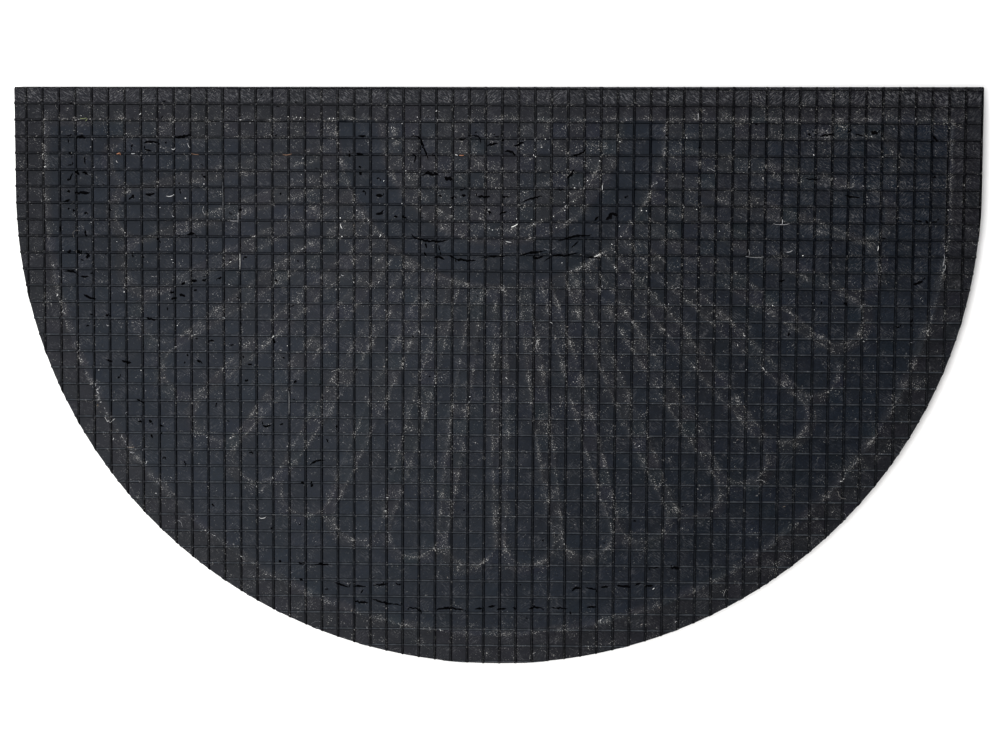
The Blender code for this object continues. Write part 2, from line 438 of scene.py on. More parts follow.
def fanGroup(kind):
    # Where a point lies on the pattern: Line is 1 on its lines, Smooth in its hollows, Rim on the border
    tree, add, place = newTree("fan pattern " + kind[:6].lower(), kind, (("Float", "Line, Smooth, Rim"),),
                               Vector="Position")
    parts = add("SeparateXYZ", (place["Position"],))
    known = {"x": parts.outputs["X"], "y": parts.outputs["Y"]}
    curveTop = outline["depth"] / 2 - outline["sideRun"]
    curveDepth = outline["depth"] - outline["sideRun"]
    halfWidth = outline["width"] / 2
    full = outline["fullness"]
    innerRing, secondRing, thirdRing, outerRing = fan["rings"]
    tipDrop = fan["tipBelow"] - fan["tipBeside"]
    formula = [
        # polar place round the fan's centre, the angle from straight down
        ("across", "SUBTRACT", "x", fan["centre"][0]),
        ("down", "SUBTRACT", fan["centre"][1], "y"),
        ("acrossSquare", "MULTIPLY", "across", "across"),
        ("reachSquare", "MULTIPLY_ADD", "down", "down", "acrossSquare"),
        ("reach", "SQRT", "reachSquare"),
        ("angle", "ARCTAN2", "across", "down"),
        ("below", "GREATER_THAN", "down", -0.0015),
        # the nearest petal's axis
        ("turns", "DIVIDE", "angle", fan["petalTurn"]),
        ("petalFloor", "FLOOR", "turns"),
        ("petalLow", "MAXIMUM", "petalFloor", -fan["petals"]),
        ("petal", "MINIMUM", "petalLow", fan["petals"] - 1),
        ("axis", "MULTIPLY_ADD", "petal", fan["petalTurn"], fan["petalTurn"] / 2),
        ("lean", "SUBTRACT", "angle", "axis"),
        ("leanCosine", "COSINE", "lean"),
        ("along", "MULTIPLY", "reach", "leanCosine"),
        ("leanSine", "SINE", "lean"),
        ("aside", "MULTIPLY", "reach", "leanSine"),
        # the petal's round end, nearer the centre at the sides
        ("axisSine", "SINE", "axis"),
        ("axisSquare", "MULTIPLY", "axisSine", "axisSine"),
        ("axisFourth", "MULTIPLY", "axisSquare", "axisSquare"),
        ("tipCentre", "MULTIPLY_ADD", "axisFourth", -tipDrop, fan["tipBelow"] - fan["tipHalf"]),
        ("run", "SUBTRACT", "along", outerRing),
        ("wholeRun", "SUBTRACT", "tipCentre", outerRing),
        ("runShare", "DIVIDE", "run", "wholeRun"),
        ("shareLow", "MAXIMUM", "runShare", 0.0),
        ("share", "MINIMUM", "shareLow", 1.0),
        ("shareSwell", "POWER", "share", fan["swell"]),
        ("half", "MULTIPLY_ADD", "shareSwell", fan["tipHalf"] - fan["rootHalf"], fan["rootHalf"]),
        ("pastTip", "SUBTRACT", "along", "tipCentre"),
        ("pastEnd", "MAXIMUM", "pastTip", 0.0),
        ("pastSquare", "MULTIPLY", "pastEnd", "pastEnd"),
        ("wideSquare", "MULTIPLY_ADD", "aside", "aside", "pastSquare"),
        ("wide", "SQRT", "wideSquare"),
        ("petalGap", "SUBTRACT", "wide", "half"),
        ("inFan", "GREATER_THAN", "reach", outerRing),
        ("petalAway", "DIVIDE", "petalGap", fan["lineHalf"]),
        ("petalAwaySquare", "MULTIPLY", "petalAway", "petalAway"),
        ("petalFall", "MULTIPLY", "petalAwaySquare", -1.0),
        ("petalGlow", "EXPONENT", "petalFall"),
        ("petalShown", "MULTIPLY", "petalGlow", "inFan"),
        # petals that point down show more than those at the sides
        ("axisCosine", "COSINE", "axis"),
        ("petalShare", "MULTIPLY_ADD", "axisCosine", 0.68, 0.30),
        ("petalLine", "MULTIPLY", "petalShown", "petalShare"),
        # distance in from the mat's edge
        ("xSize", "ABSOLUTE", "x"),
        ("xShare", "DIVIDE", "xSize", halfWidth),
        ("drop", "SUBTRACT", curveTop, "y"),
        ("dropOnly", "MAXIMUM", "drop", 0.0),
        ("yShare", "DIVIDE", "dropOnly", curveDepth),
        ("xPower", "POWER", "xShare", full),
        ("yPower", "POWER", "yShare", full),
        ("powers", "ADD", "xPower", "yPower"),
        ("level", "POWER", "powers", 1 / full),
        ("xSlopePower", "POWER", "xShare", full - 1),
        ("xSlope", "DIVIDE", "xSlopePower", halfWidth),
        ("ySlopePower", "POWER", "yShare", full - 1),
        ("ySlope", "DIVIDE", "ySlopePower", curveDepth),
        ("xSlopeSquare", "MULTIPLY", "xSlope", "xSlope"),
        ("slopeSquare", "MULTIPLY_ADD", "ySlope", "ySlope", "xSlopeSquare"),
        ("slope", "SQRT", "slopeSquare"),
        ("levelLeft", "SUBTRACT", 1.0, "level"),
        ("curveInside", "DIVIDE", "levelLeft", "slope"),
        ("topInside", "SUBTRACT", outline["depth"] / 2, "y"),
        ("inside", "MINIMUM", "curveInside", "topInside"),
    ]
    # a soft line at each ring and at the border's inner edge
    for name, measure, lineAt in (
        ("innerRing", "reach", innerRing),
        ("secondRing", "reach", secondRing),
        ("thirdRing", "reach", thirdRing),
        ("outerRing", "reach", outerRing),
        ("borderEdge", "inside", fan["borderLine"]),
    ):
        formula += [
            (name + "Off", "SUBTRACT", measure, lineAt),
            (name + "Away", "DIVIDE", name + "Off", fan["lineHalf"]),
            (name + "Square", "MULTIPLY", name + "Away", name + "Away"),
            (name + "Fall", "MULTIPLY", name + "Square", -1.0),
            (name, "EXPONENT", name + "Fall"),
        ]
    formula += [
        ("halfRing", "MULTIPLY", "innerRing", 0.6),
        ("faintRing", "MULTIPLY", "thirdRing", 0.7),
        ("ringPair", "MAXIMUM", "secondRing", "outerRing"),
        ("lowRings", "MAXIMUM", "halfRing", "faintRing"),
        ("ringLines", "MAXIMUM", "lowRings", "ringPair"),
        ("fanLines", "MAXIMUM", "ringLines", "petalLine"),
        ("fanShown", "MULTIPLY", "fanLines", "below"),
        ("line", "MAXIMUM", "fanShown", "borderEdge"),
        # hollows: inside each petal, between the two outer rings, and beyond the petals
        ("petalDeep", "DIVIDE", "petalGap", -fan["fade"]),
        ("petalFlat", "MULTIPLY", "petalDeep", "inFan"),
        ("petalFuller", "MULTIPLY_ADD", "share", 0.7, 0.3),
        ("petalClamp", "MINIMUM", "petalFlat", 1.0),
        ("petalHollow", "MULTIPLY", "petalClamp", "petalFuller"),
        ("bandIn", "SUBTRACT", "reach", thirdRing + fan["fade"] / 2),
        ("bandOut", "SUBTRACT", outerRing - fan["fade"] / 2, "reach"),
        ("bandNear", "MINIMUM", "bandIn", "bandOut"),
        ("bandHollow", "DIVIDE", "bandNear", fan["fade"]),
        ("beyondGap", "SUBTRACT", "petalGap", 2 * fan["fade"]),
        ("beyondRim", "SUBTRACT", "inside", outline["border"] + fan["fade"]),
        ("beyondNear", "MINIMUM", "beyondGap", "beyondRim"),
        ("beyondShare", "DIVIDE", "beyondNear", fan["fade"]),
        ("atEnd", "GREATER_THAN", "share", 0.96),
        ("beyondHollow", "MULTIPLY", "beyondShare", "atEnd"),
        ("hollowPair", "MAXIMUM", "petalHollow", "bandHollow"),
        ("hollows", "MAXIMUM", "hollowPair", "beyondHollow"),
        ("hollowLow", "MAXIMUM", "hollows", 0.0),
        ("hollowClamp", "MINIMUM", "hollowLow", 1.0),
        ("smooth", "MULTIPLY", "hollowClamp", "below"),
        ("rimOff", "SUBTRACT", fan["borderLine"], "inside"),
        ("rimShare", "DIVIDE", "rimOff", fan["fade"]),
        ("rimLow", "MAXIMUM", "rimShare", 0.0),
        ("rim", "MINIMUM", "rimLow", 1.0),
    ]
    for name, operation, *terms in formula:
        sources = [known[term] if isinstance(term, str) else term for term in terms]
        known[name] = add(operation, sources)
    add("GroupOutput", {"Line": known["line"], "Smooth": known["smooth"], "Rim": known["rim"]})
    return tree


shaderFan = fanGroup("ShaderNodeTree")
geometryFan = fanGroup("GeometryNodeTree")
print("fan pattern: node groups built")


# The rubber backing

linesPerCell = 7


def lineGroup():
    # places one grid line of a cell whose rib is at its middle, and says whether it is on the rib's crest
    tree, add, source = newTree("rib line", results=(("Float", "Place, Raised"),),
                                Float="Line, Pitch, Foot, Crest")
    shifted = add("ADD", (source["Line"], 0.5001))
    cell = add("FLOOR", (shifted,))
    share = add("FRACT", (shifted,))
    count = add("MULTIPLY", (share, float(linesPerCell)))
    step = add("FloatToInt", (count,), rounding_mode="ROUND")
    halfPitch, halfFoot, halfCrest = [
        add("MULTIPLY", (source[label], 0.5)) for label in ("Pitch", "Foot", "Crest")]
    both = add("ADD", (halfPitch, halfFoot))
    between = add("MULTIPLY", (both, 0.5))
    place = add("IndexSwitch", {"Index": step}, data_type="FLOAT")
    raised = add("IndexSwitch", {"Index": step}, data_type="FLOAT")
    offsets = ((halfPitch, -1), (between, -1), (halfFoot, -1), (halfCrest, -1),
               (halfCrest, 1), (halfFoot, 1), (between, 1))
    for number, (distance, side) in enumerate(offsets):
        if number > 1:
            place.index_switch_items.new()
            raised.index_switch_items.new()
        signed = add("MULTIPLY", (distance, float(side)))
        tree.links.new(signed.outputs[0], place.inputs[number + 1])
        raised.inputs[number + 1].default_value = 1.0 if distance is halfCrest else 0.0
    rib = add("MULTIPLY_ADD", (cell, source["Pitch"], place))
    add("GroupOutput", {"Place": rib, "Raised": raised})
    return tree


def ribTree():
    # a closed block larger than the mat, its top moulded with the rib grid
    tree, add, source = newTree(
        "ribbed back", Int="Columns, Rows",
        Float="Pitch Across, Pitch Down, Rib Foot, Rib Crest, Rib Height, Cell Floor, Underside, Turn",
        Vector="Crossing", Material="Material")
    counts = {}
    for label in ("Columns", "Rows"):
        counts[label] = add("MULTIPLY_ADD", (source[label], float(linesPerCell), 1.0))
    grid = add("MeshGrid", (source["Columns"], source["Rows"], counts["Columns"], counts["Rows"]))
    parts = add("SeparateXYZ", (add("InputPosition"),))
    group = lineGroup()
    places = {}
    for axis, pitch in (("X", "Pitch Across"), ("Y", "Pitch Down")):
        line = (parts.outputs[axis], source[pitch], source["Rib Foot"], source["Rib Crest"])
        places[axis] = add("GeometryNodeGroup", line, node_tree=group).outputs
    raised = add("MAXIMUM", (places["X"]["Raised"], places["Y"]["Raised"]))
    height = add("MULTIPLY_ADD", (raised, source["Rib Height"], source["Cell Floor"]))
    faces = {}
    for face, level in (("top", height), ("low", source["Underside"])):
        corner = add("CombineXYZ", (places["X"]["Place"], places["Y"]["Place"], level))
        faces[face] = add("SetPosition", {"Geometry": grid, "Position": corner})
    lowFace = add("FlipFaces", (faces["low"],))
    rim = add("Compare", (add("InputMeshEdgeNeighbors"), 1), data_type="INT", operation="EQUAL")
    walls = add("ExtrudeMesh", {"Mesh": faces["top"], "Selection": rim, "Offset Scale": 0.0}, mode="EDGES")
    here = add("SeparateXYZ", (add("InputPosition"),))
    wallFoot = add("CombineXYZ", {"X": here.outputs["X"], "Y": here.outputs["Y"], "Z": source["Underside"]})
    skirt = add("SetPosition", {"Geometry": walls, "Selection": walls.outputs["Top"], "Position": wallFoot})
    joined = add("JoinGeometry", ([skirt, lowFace],))
    merged = add("MergeByDistance", {"Geometry": joined, "Distance": 0.01 * mm})
    angles = add("CombineXYZ", {"Z": source["Turn"]})
    placed = add("Transform", {"Geometry": merged, "Translation": source["Crossing"], "Rotation": angles})
    single = add("RealizeInstances", {"Geometry": placed})
    dressed = add("SetMaterial", {"Geometry": single, "Material": source["Material"]})
    add("GroupOutput", {"Geometry": dressed})
    return tree


def pressTree():
    # the fan's relief, uneven cell floors and straying ribs, on everything near the top
    tree, add, source = newTree(
        "pressed back", Geometry="Geometry",
        Float="Relief, Lumps, Lump Grain, Wander, Wander Grain, From Height, To Height")
    position = add("InputPosition")
    parts = add("SeparateXYZ", (position,))
    nearTop = add("MapRange", (parts.outputs["Z"], source["From Height"], source["To Height"]))
    pattern = add("GeometryNodeGroup", (position,), node_tree=geometryFan)
    sunk = add("MULTIPLY_ADD", (pattern.outputs["Smooth"], -0.6, pattern.outputs["Line"]))
    relief = add("MULTIPLY", (sunk, source["Relief"]))
    flat = add("CombineXYZ", {"X": parts.outputs["X"], "Y": parts.outputs["Y"]})
    lumpScale = add("DIVIDE", (1.0, source["Lump Grain"]))
    lumpNoise = add("TexNoise", {"Vector": flat, "Scale": lumpScale, "Detail": 2.0}, noise_dimensions="2D")
    lumpSigned = add("MapRange", (lumpNoise, 0.0, 1.0, -1.0, 1.0))
    lumps = add("MULTIPLY_ADD", (lumpSigned, source["Lumps"], relief))
    rise = add("MULTIPLY", (lumps, nearTop))
    wanderScale = add("DIVIDE", (1.0, source["Wander Grain"]))
    wanderNoise = add("TexNoise", {"Vector": flat, "Scale": wanderScale, "Detail": 1.0},
                      noise_dimensions="2D")
    centred = add("VectorMath", (wanderNoise.outputs["Color"], (-0.5, -0.5, -0.5)), operation="ADD")
    strayScale = add("MULTIPLY", (source["Wander"], nearTop))
    stray = add("VectorMath", (centred, strayScale), operation="SCALE")
    strayParts = add("SeparateXYZ", (stray,))
    offset = add("CombineXYZ", {"X": strayParts.outputs["X"], "Y": strayParts.outputs["Y"], "Z": rise})
    moved = add("SetPosition", {"Geometry": source["Geometry"], "Offset": offset})
    # the ribs' crests are shaded round, their feet and the cut edges stay crisp
    bend = add("InputMeshEdgeAngle")
    foot = add("LESS_THAN", (bend.outputs["Signed Angle"], -math.radians(25)))
    cutEdge = add("GREATER_THAN", (bend.outputs["Signed Angle"], math.radians(80)))
    crisp = add("ADD", (foot, cutEdge))
    rounded = add("SUBTRACT", (1.0, crisp))
    faces = add("SetShadeSmooth", {"Geometry": moved, "Shade Smooth": True}, domain="FACE")
    edges = add("SetShadeSmooth", {"Geometry": faces, "Shade Smooth": rounded}, domain="EDGE")
    add("GroupOutput", {"Geometry": edges})
    return tree


def makeBacking(material, tornMaterial):
    backing = newObject("moulded_backing", bpy.data.meshes.new("moulded_backing"))
    useTree(backing, ribTree(), {
        "Columns": ribs["columns"],
        "Rows": ribs["rows"],
        "Pitch Across": ribs["pitchAcross"],
        "Pitch Down": ribs["pitchDown"],
        "Rib Foot": ribs["foot"],
        "Rib Crest": ribs["crest"],
        "Rib Height": layers["ribCrest"] - layers["cellFloor"],
        "Cell Floor": layers["cellFloor"],
        "Underside": -layers["margin"],
        "Crossing": (*ribs["crossing"], 0.0),
        "Turn": ribs["turn"],
        "Material": material,
    })
    margin = layers["margin"]
    whole = outlineSolid("mat_outline", 0.0, layers["rubberEdge"], layers["ribCrest"] + margin, material)
    recess = outlineSolid("pile_recess", outline["border"], -margin, layers["baseUnderside"], material)
    cutWith(backing, whole, "INTERSECT")
    cutWith(backing, recess, "DIFFERENCE")
    skinTears = makeTearCutters(tornMaterial)
    for cutter in skinTears:
        cutWith(backing, cutter, "DIFFERENCE")
    useTree(backing, pressTree(), {
        **pressing,
        "From Height": layers["baseUnderside"] + 0.5 * mm,
        "To Height": layers["cellFloor"] - 0.5 * mm,
    })
    settle(backing)
    for cutter in (whole, recess, *skinTears):
        bpy.data.objects.remove(cutter, do_unlink=True)
    return backing


# Moulded rubber: carbon black makes it nearly black and dull, and every cell took the mould a little
# differently. Tones, painted shade and painted highlight have no unit, grains are in metres.
rubberLook = {
    "blueBlack": "#0e1019",
    "greenBlack": "#0b1217",
    "neutralBlack": "#141214",
    "hollowBlack": "#0a111a",
    "mark": "#4f4f52",
    "dust": "#888887",
    "paleDust": "#c4c2be",
    "lineDust": 0.014,       # how much dust lies in a soft band along the pattern's lines
    "speckCover": 0.60,
    # painted highlight: the colour of the lit crests and shoulders facing the straight edge
    "crestHighlight": "#2b2e32",
    "crestStart": (0.6 * mm, 0.9 * mm),   # above the cell floor
    "crestTonesAndShade": (0.62, 0.40),       # of the ribs that run across and of those that run down: the crests' own darker tone and painted shade, darkest on the ribs that run down
    "highlightBelow": (0.045, 0.095),      # the cross ribs' crests get a painted highlight below these heights up the mat
    "crestsRight": (0.060, 0.130),      # and those of the ribs that run down, right of these places, where their sheen is also dulled
    "uprightHighlight": 0.20,
    "highlightPatches": 1 / 260,       # metres across a patch in the painted highlight on the crests
    "steep": (0.70, 0.92),   # how level a face is where flanks end and the skin is full
    "paintedFlankShade": 0.14,       # painted shade: steep faces are darkened to this share, and the line dust and fibre marks on them are thinned alike
    "cellSpread": 0.16,      # how far one cell's tone strays from the next
    "patch": 0.070,          # metres across a lighter or darker patch
    "wisps": 0.0110,         # metres across a group of fibre marks
    "grain": 0.0012,         # the mottle left by the mould release
    "fibrePrint": (0.0034, 0.0007),   # length and width of the fibre marks pressed into the skin
    "slants": (-36.0, 42.0),          # degrees, one or the other in each cell
    "slantShare": 0.66,
    "topRow": (0.2110, 0.2150),       # the marks are strongest along the straight edge, above these heights
    "topPrints": 0.60,
    "rightHalf": (0.12, 0.26),        # and to the upper right
    "upperHalf": (0.03, 0.13),
    "cornerPrints": 0.22,
    "leftHalf": (0.12, -0.10),        # the skin is greyer to the upper left
    "leftGrey": 0.35,
    "speck": 0.00085,
    "clumps": 1 / 130,       # metres across a clump of specks
    "lumps": 0.0026,
    "roughness": 0.45,
    "sheen": 0.072,
    "sheenTint": (0.85, 0.91, 1.0, 1.0),
    "middle": (0.12, -0.03, 0.0),     # the skin is a little duller round here, over these distances
    "middleSpan": (0.08, 0.20),
    "middleTone": 0.82,
}


def ribMasks(add, place, gridPlace):
    # painted shade on the ribs' flanks and crests, where the crests get a painted highlight, how they shine,
    # what is level
    look = rubberLook
    parts = add("SeparateXYZ", (place,))
    gridParts = add("SeparateXYZ", (gridPlace,))
    offsets = {}
    for axis, pitch in (("X", ribs["pitchAcross"]), ("Y", ribs["pitchDown"])):
        wrapped = add("WRAP", (gridParts.outputs[axis], 0.5, -0.5))
        offsets[axis] = add("MULTIPLY", (wrapped, pitch))
    high = add("MapRange", (parts.outputs["Z"], *[layers["cellFloor"] + rise for rise in look["crestStart"]]))
    # the crests' own tone with painted shade, darker on the ribs that run down
    across = add("ABSOLUTE", (offsets["X"],))
    runsDown = add("MapRange", (across, 1.5 * mm, 1.1 * mm))
    crestToneAndShade = add("Mix", (runsDown, *look["crestTonesAndShade"]), data_type="FLOAT")
    topTone = add("Mix", (high, 1.0, crestToneAndShade), data_type="FLOAT")
    facing = add("SeparateXYZ", (add("NewGeometry").outputs["True Normal"],))
    # painted shade on the ribs' steep flanks
    paintedFlankShade = add("MapRange", (facing.outputs["Z"], *look["steep"], look["paintedFlankShade"], 1.0))
    ribToneAndShade = add("MULTIPLY", (topTone, paintedFlankShade))
    # painted highlight: on the crest and the shoulder away from the curved edge
    fromShoulder = add("ADD", (offsets["Y"], -0.25 * mm))
    shoulderAway = add("ABSOLUTE", (fromShoulder,))
    onShoulder = add("MapRange", (shoulderAway, 0.75 * mm, 0.35 * mm))
    below = add("MapRange", (parts.outputs["Y"], *look["highlightBelow"][::-1]))
    highlightPatches = add("TexNoise", {"Vector": place, "Scale": 1 / look["highlightPatches"], "Detail": 2.0})
    highlightPatchiness = add("MapRange", (highlightPatches, 0.35, 0.6, 0.45, 1.0))
    # the ribs that run down get the painted highlight only towards the lower right
    rightward = add("MapRange", (parts.outputs["X"], *look["crestsRight"], 0.0, look["uprightHighlight"]))
    onCrest = add("MULTIPLY", (high, rightward))
    paintedHighlight = add("Mix", (runsDown, onShoulder, onCrest), data_type="FLOAT")
    looksUp = add("GREATER_THAN", (facing.outputs["Z"], 0.0))
    for share in (below, highlightPatchiness, looksUp):
        paintedHighlight = add("MULTIPLY", (paintedHighlight, share))
    # the crests that run down are duller from the middle to the right
    dulled = add("MULTIPLY", (high, runsDown))
    dullRight = add("MapRange", (parts.outputs["X"], *look["crestsRight"], 0.0, 0.8))
    dulled = add("MULTIPLY", (dulled, dullRight))
    sheen = add("MapRange", (dulled, 0.0, 1.0, look["sheen"], 0.0))
    level = add("MapRange", (facing.outputs["Z"], *look["steep"]))
    return ribToneAndShade, paintedHighlight, sheen, level


def rubberMaterial():
    look = rubberLook
    material, add = newMaterial("moulded_rubber")
    place = add("TexCoord").outputs["Object"]
    parts = add("SeparateXYZ", (place,)).outputs
    pattern = add("ShaderNodeGroup", (place,), node_tree=shaderFan)
    line, smooth, rim = (pattern.outputs[name] for name in ("Line", "Smooth", "Rim"))

    # a number and a colour for each cell of the grid
    gridPlace = add("Mapping", {
        "Vector": place,
        "Location": (*ribs["crossing"], 0.0),
        "Rotation": (0.0, 0.0, ribs["turn"]),
        "Scale": (ribs["pitchAcross"], ribs["pitchDown"], 1.0),
    }, vector_type="TEXTURE")
    cell = add("VectorMath", (gridPlace,), operation="FLOOR")
    cellDice = add("TexWhiteNoise", (cell,), noise_dimensions="2D")
    cellHue = add("SeparateColor", (cellDice.outputs["Color"],)).outputs
    cellTone = add("MapRange", (cellDice, 0.0, 1.0, 1 - look["cellSpread"], 1 + look["cellSpread"]))
    patches = add("TexNoise", {"Vector": place, "Scale": 1 / look["patch"], "Detail": 2.0})
    patchTone = add("MapRange", (patches, 0.3, 0.7, 0.88, 1.12))
    grain = add("TexNoise", {"Vector": place, "Scale": 1 / look["grain"], "Detail": 3.0, "Roughness": 0.7})
    grainTone = add("MapRange", (grain, 0.3, 0.7, 0.50, 1.50))

    # fibre marks: strokes of noise at two slants, one or the other in each cell, none on steep faces
    ribToneAndShade, paintedHighlight, sheen, level = ribMasks(add, place, gridPlace)
    strokes = []
    for slant in look["slants"]:
        turned = add("Mapping", {
            "Vector": place, "Rotation": (0.0, 0.0, math.radians(slant)), "Scale": (*look["fibrePrint"], 1.0),
        }, vector_type="TEXTURE")
        stroke = add("TexNoise", {"Vector": turned, "Scale": 1.0, "Detail": 2.0, "Distortion": 0.6},
                     noise_dimensions="2D")
        strokes.append(add("MapRange", (stroke, 0.50, 0.72)))
    whichSlant = add("GREATER_THAN", (cellDice, look["slantShare"]))
    prints = add("Mix", (whichSlant, *strokes), data_type="FLOAT")
    wisps = add("TexNoise", {"Vector": place, "Scale": 1 / look["wisps"], "Detail": 2.0})
    printShare = add("MapRange", (wisps, 0.46, 0.66, 0.02, 0.42))
    topRow = add("MapRange", (parts["Y"], *look["topRow"]))
    rightHalf = add("MapRange", (parts["X"], *look["rightHalf"]))
    upperHalf = add("MapRange", (parts["Y"], *look["upperHalf"]))
    upperRight = add("MULTIPLY", (rightHalf, upperHalf))
    for region, share in ((upperRight, look["cornerPrints"]), (topRow, look["topPrints"])):
        printShare = add("MULTIPLY_ADD", (region, share, printShare))
    for share in (level, printShare):
        prints = add("MULTIPLY", (prints, share))

    # pale specks: dust and coir ends caught in the skin, thickest along the pattern's lines
    specks = add("TexNoise", {"Vector": place, "Scale": 1 / look["speck"], "Detail": 2.0, "Roughness": 0.6})
    clumps = add("TexNoise", {"Vector": place, "Scale": 1 / look["clumps"], "Detail": 2.0})
    rise = -0.095
    for mask, amount in ((clumps, 0.30), (line, 0.058), (smooth, -0.05), (rim, -0.022)):
        rise = add("MULTIPLY_ADD", (mask, amount, rise))
    specks = add("ADD", (specks, rise))
    specks = add("MapRange", (specks, 0.70, 0.80))

    # the ground colour: bluer or greener by cell, greyer along the rim and to the upper left
    ground = add("Mix", (cellHue["Green"], sRGB(look["blueBlack"]), sRGB(look["greenBlack"])),
                 data_type="RGBA")
    leftHalf = add("MapRange", (parts["X"], *look["leftHalf"]))
    upperLeft = add("MULTIPLY", (leftHalf, upperHalf))
    greyer = add("MULTIPLY_ADD", (upperLeft, look["leftGrey"], cellHue["Blue"]))
    greyer = add("MULTIPLY_ADD", (rim, 0.7, greyer), use_clamp=True)
    for mask, colour in ((greyer, "neutralBlack"), (smooth, "hollowBlack")):
        share = add("MULTIPLY", (mask, 0.6))
        ground = add("Mix", (share, ground, sRGB(look[colour])), data_type="RGBA")
    hollowTone = add("MapRange", (smooth, 0.0, 1.0, 1.06, 0.84))
    rimTone = add("MULTIPLY_ADD", (rim, -0.22, hollowTone))
    fromMiddle = add("VectorMath", (place, look["middle"]), operation="DISTANCE")
    middleTone = add("MapRange", (fromMiddle, *look["middleSpan"], look["middleTone"], 1.0))
    # the rib tone brings in painted shade on the ribs' flanks and crests
    tone = cellTone
    for share in (patchTone, grainTone, rimTone, middleTone, ribToneAndShade):
        tone = add("MULTIPLY", (tone, share))
    toned = add("VectorMath", (ground, tone), operation="SCALE")
    printShown = add("MULTIPLY", (prints, ribToneAndShade))
    marked = add("Mix", (printShown, toned, sRGB(look["mark"])), data_type="RGBA")
    # painted highlight on the ribs' crests and shoulders
    highlighted = add("Mix", (paintedHighlight, marked, sRGB(look["crestHighlight"])), data_type="RGBA")

    # dust: the specks, and a soft band twice as wide as each line
    dustShade = add("Mix", (clumps, sRGB(look["dust"]), sRGB(look["paleDust"])), data_type="RGBA")
    band = add("POWER", (line, 0.3))
    bandPatch = add("MapRange", (clumps, 0.35, 0.65, 0.4, 1.6))
    for share in (bandPatch, ribToneAndShade):
        band = add("MULTIPLY", (band, share))
    dust = add("MULTIPLY_ADD", (band, look["lineDust"], specks))
    dust = add("MULTIPLY", (dust, look["speckCover"]))
    dusted = add("Mix", (dust, highlighted, dustShade), data_type="RGBA")

    # fine relief in metres
    lumps = add("TexNoise", {"Vector": place, "Scale": 1 / look["lumps"], "Detail": 2.0})
    lineLumps = add("MULTIPLY_ADD", (line, 0.00022, 0.00009))
    relief = add("MULTIPLY", (lumps, lineLumps))
    for source, depth in ((grain, 0.00010), (prints, 0.00009)):
        relief = add("MULTIPLY_ADD", (source, depth, relief))
    shader = add("BsdfPrincipled", {
        "Base Color": dusted,
        "Roughness": add("MapRange", (grain, 0.0, 1.0, look["roughness"] - 0.12, look["roughness"] + 0.16)),
        "IOR": 1.52,
        "Normal": add("Bump", {"Strength": 1.0, "Distance": 1.0, "Height": relief}),
        "Specular IOR Level": add("MULTIPLY", (sheen, middleTone)),
        "Specular Tint": look["sheenTint"],
    })
    add("OutputMaterial", {"Surface": shader})
    return material


# Torn rubber: fresh black inside each tear, with no mould skin to catch the light; its near-black is partly
# painted shade of the tear's depth
tornLook = {
    # the fresh rubber's black, darkened further as painted shade inside the tear
    "tones": ("#020203", "#08080a"),
    "crumb": 0.0005,         # metres across a crumb of the torn face, and how far it stands up
    "relief": 0.0002,
    "roughness": 0.9,
    "sheen": 0.02,
}


def tornMaterial():
    look = tornLook
    material, add = newMaterial("torn_rubber_and_shade")
    place = add("TexCoord").outputs["Object"]
    crumb = add("TexNoise", {"Vector": place, "Scale": 1 / look["crumb"], "Detail": 3.0})
    tone = add("Mix", (crumb, *[sRGB(code) for code in look["tones"]]), data_type="RGBA")
    bump = add("Bump", {"Strength": 0.8, "Distance": look["relief"], "Height": crumb})
    shader = add("BsdfPrincipled", {
        "Base Color": tone, "Roughness": look["roughness"], "Specular IOR Level": look["sheen"],
        "Normal": bump})
    add("OutputMaterial", {"Surface": shader})
    return material


rubber = rubberMaterial()
torn = tornMaterial()
backing = makeBacking(rubber, torn)
print("rubber backing:", len(backing.data.vertices), "points,", len(backing.data.polygons), "faces")


# The coir pile under the rubber: a bed of packed fibre, and the bristles below it trimmed flat

pile = {
    "clearance": 0.0003,     # between the coir and the rubber round it
    "bedUnderside": 0.0030,
    "bedLumps": 0.0012,      # unevenness of the bed's lower rim
    "bedGrain": 0.0042,
    "bristleRoot": 0.0068,
    "bristleInset": 0.0016,  # the outermost bristles stand this far in from the bed's side
}

bristle = {
    "Spacing": 0.0024,
    "Per Area": 95000.0,
    "Length": 0.0071,
    "Radius": 0.00060,
    "Lean": math.radians(20),
}


def bedTree():
    tree, add, source = newTree("coir bed", Geometry="Geometry", Float="Middle, Lumps, Grain",
                                Material="Material")
    position = add("InputPosition")
    height = add("SeparateXYZ", (position,))
    below = add("LESS_THAN", (height.outputs["Z"], source["Middle"]))
    scale = add("DIVIDE", (1.0, source["Grain"]))
    noise = add("TexNoise", {"Vector": position, "Scale": scale, "Detail": 2.0})
    signed = add("MapRange", (noise, 0.3, 0.7, -1.0, 1.0))
    rise = add("MULTIPLY", (signed, source["Lumps"]))
    lumpy = add("SetPosition", {
        "Geometry": source["Geometry"], "Selection": below, "Offset": add("CombineXYZ", {"Z": rise})})
    single = add("RealizeInstances", (lumpy,))
    add("GroupOutput", (add("SetMaterial", {"Geometry": single, "Material": source["Material"]}),))
    return tree


def makeCoirBed(material):
    inset = outline["border"] + pile["clearance"]
    bed = outlineSolid("coir_bed", inset, pile["bedUnderside"], layers["coirTop"])
    useTree(bed, bedTree(), {
        "Middle": (layers["coirTop"] + pile["bedUnderside"]) / 2,
        "Lumps": pile["bedLumps"],
        "Grain": pile["bedGrain"],
        "Material": material,
    })
    settle(bed)
    return bed


